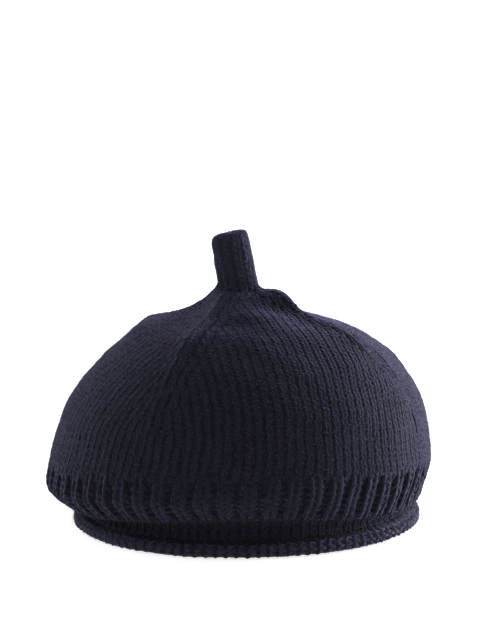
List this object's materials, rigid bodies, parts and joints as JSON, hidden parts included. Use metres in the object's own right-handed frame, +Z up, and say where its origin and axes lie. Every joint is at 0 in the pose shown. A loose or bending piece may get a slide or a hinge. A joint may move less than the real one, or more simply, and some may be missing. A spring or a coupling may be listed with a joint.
{
  "type": "knitted beanie with a stalk",
  "caption": "Soft knitted beanie with a domed wedge crown, short stalk on top, ribbed band and rolled edge, hollow for a head.",
  "frame": {"origin": "middle of the hat under its rim, on the surface that it rests on", "axes": "+Z up through the crown, front of the hat towards -Y, +X to the right of a viewer who faces the front"},
  "size_m": [0.1974, 0.1934, 0.1488],
  "materials": {
    "crown_wool": "stocking stitch in worsted navy wool, softly fuzzy",
    "band_wool": "ribbed and plain knit in the same navy wool",
    "edge_wool": "rolled edge that shows the bumpy reverse of the stocking stitch"
  },
  "bodies": {
    "root": {"rolled_edge": "edge_wool", "low_band": "band_wool", "rib_band": "band_wool", "crown_side": "crown_wool", "crown_top": "crown_wool", "stalk": "crown_wool"}
  },
  "joints": []
}
